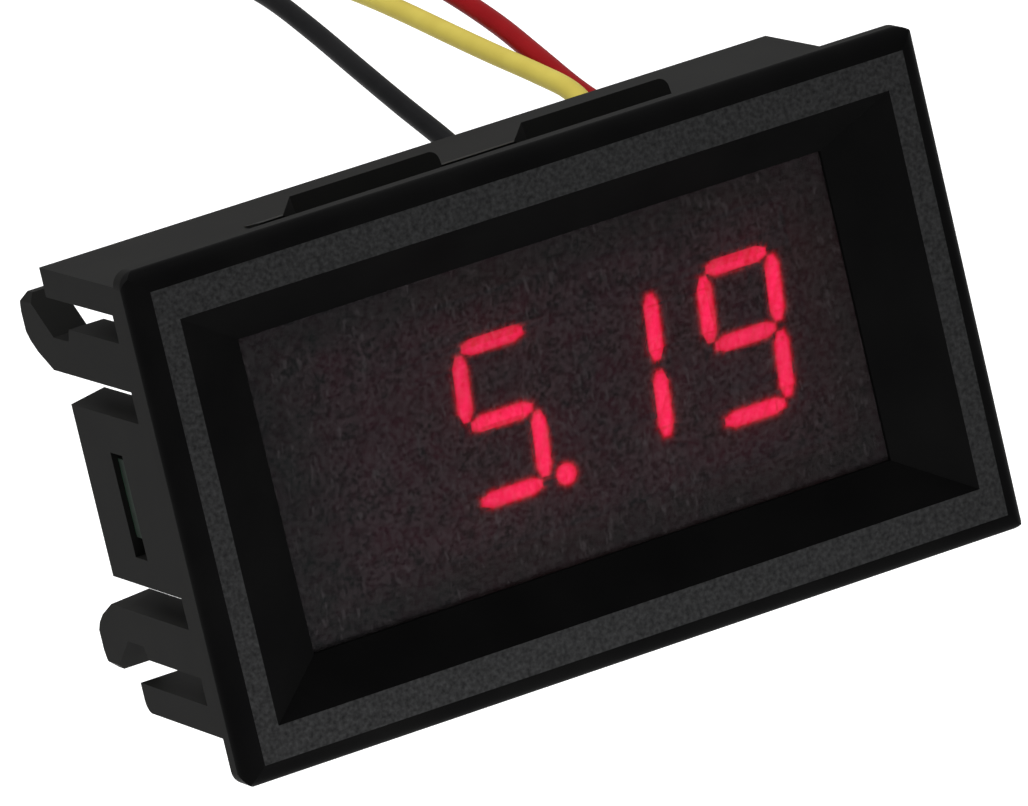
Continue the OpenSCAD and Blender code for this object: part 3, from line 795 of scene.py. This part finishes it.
def make_pads():
    """The tinned pads under every part, the rings round pins and wires, and the vias."""
    mesh = bmesh.new()
    for side in (1, -1):
        for i in range(CHIP_LEADS):
            add_plate(mesh, chip_foot(side, i), *CHIP_PAD, PAD_LIFT)
    for place in [*[pin for side, i, pin in pin_places()], BLACK_PAD, YELLOW_PAD, RED_PAD]:
        add_plate(mesh, place, *RING_PAD, PAD_LIFT)
    for x, z in RESISTORS + CAPACITORS:
        for side in (1, -1):
            add_plate(mesh, (x + side * SMALL_CHIP_FOOT, z), *SMALL_CHIP_PAD, PAD_LIFT)
    for i in (-1, 0, 1):
        foot = REGULATOR_AT + Vector((REGULATOR_LEAD_PITCH * i, REGULATOR_FOOT))
        add_plate(mesh, foot, *REGULATOR_LEAD_PAD, PAD_LIFT)
    add_plate(mesh, REGULATOR_AT - Vector((0, REGULATOR_FOOT)), *REGULATOR_TAB_PAD, PAD_LIFT)
    for side in (1, -1):
        add_plate(mesh, DIODE_AT + Vector((side * DIODE_FOOT, 0)), *DIODE_PAD, PAD_LIFT)
    for place in VIAS:
        add_plate(mesh, place, *VIA_PAD, PAD_LIFT)
    finish_piece("board_pads", mesh, TIN)


def make_print():
    """Plain white outlines round the parts, and the mark at the chip's first lead."""
    mesh = bmesh.new()
    for place in RESISTORS + CAPACITORS:
        add_frame(mesh, place, *SMALL_CHIP_FRAME)
    add_frame(mesh, DISPLAY_AT, *CHIP_FRAME)
    add_frame(mesh, REGULATOR_AT, *REGULATOR_FRAME)
    add_frame(mesh, DIODE_AT, *DIODE_FRAME)
    add_plate(mesh, DISPLAY_AT + CHIP_MARK_OFFSET, *CHIP_MARK, PRINT_LIFT)
    finish_piece("board_print", mesh, print_look())


make_tracks()
make_pads()
make_print()

# ---------------------------------------------------------------- stage and light

WHITE = (1, 1, 1, 1)
PALE_GREY = (0.8, 0.8, 0.8, 1)
FLOOR_DROP = 60 * MM
FLOOR_SIZE = 8
FLOOR_SHINE = 0.5  # lifts the floor to white where it is seen or mirrored; it casts no light
WORLD_LIGHT = 0.48


def make_floor():
    """A plain white floor below the meter, which its panel would hold in the air."""
    mesh = bmesh.new()
    bmesh.ops.create_grid(mesh, x_segments=1, y_segments=1, size=FLOOR_SIZE)
    data = bpy.data.meshes.new("floor")
    mesh.to_mesh(data)
    mesh.free()
    floor = bpy.data.objects.new("floor", data)
    floor.location.z = -FLOOR_DROP
    bpy.context.scene.collection.objects.link(floor)
    look = Look("floor_paint", (0.82, 0.82, 0.82), 0.9, specular=0.0)
    path = look.add("ShaderNodeLightPath")
    seen = look.math("MAXIMUM", path.outputs["Is Camera Ray"], path.outputs["Is Glossy Ray"])
    seen = look.math("MAXIMUM", seen, path.outputs["Is Transmission Ray"])
    look.set("Emission Color", WHITE)
    look.feed("Emission Strength", look.math("MULTIPLY", seen, FLOOR_SHINE))
    data.materials.append(look.material)


def make_world():
    """Soft white light all round; rays from the camera and reflections see a plain pale grey."""
    world = bpy.data.worlds.new("studio")
    world.use_nodes = True
    tree = world.node_tree
    light = tree.nodes["Background"]
    light.inputs["Color"].default_value = WHITE
    light.inputs["Strength"].default_value = WORLD_LIGHT
    backdrop = tree.nodes.new("ShaderNodeBackground")
    backdrop.inputs["Color"].default_value = PALE_GREY
    path = tree.nodes.new("ShaderNodeLightPath")
    seen = tree.nodes.new("ShaderNodeMath")
    seen.operation = "MAXIMUM"
    tree.links.new(path.outputs["Is Camera Ray"], seen.inputs[0])
    tree.links.new(path.outputs["Is Glossy Ray"], seen.inputs[1])
    mixed = tree.nodes.new("ShaderNodeMixShader")
    tree.links.new(seen.outputs[0], mixed.inputs[0])
    tree.links.new(light.outputs[0], mixed.inputs[1])
    tree.links.new(backdrop.outputs[0], mixed.inputs[2])
    tree.links.new(mixed.outputs[0], tree.nodes["World Output"].inputs["Surface"])
    bpy.context.scene.world = world


def make_lamp(name, at, size, power):
    """A square soft lamp that points at the meter."""
    data = bpy.data.lights.new(name, "AREA")
    data.size = size
    data.energy = power
    lamp = bpy.data.objects.new(name, data)
    lamp.location = at
    lamp.rotation_euler = (-Vector(at)).to_track_quat("-Z", "Y").to_euler()
    bpy.context.scene.collection.objects.link(lamp)


make_floor()
make_world()
make_lamp("top_lamp", at=(-0.15, 0.1, 0.8), size=0.6, power=6)
make_lamp("near_lamp", at=(-0.015, -0.05, -0.05), size=0.04, power=0.035)
bpy.context.scene.view_settings.view_transform = "Standard"
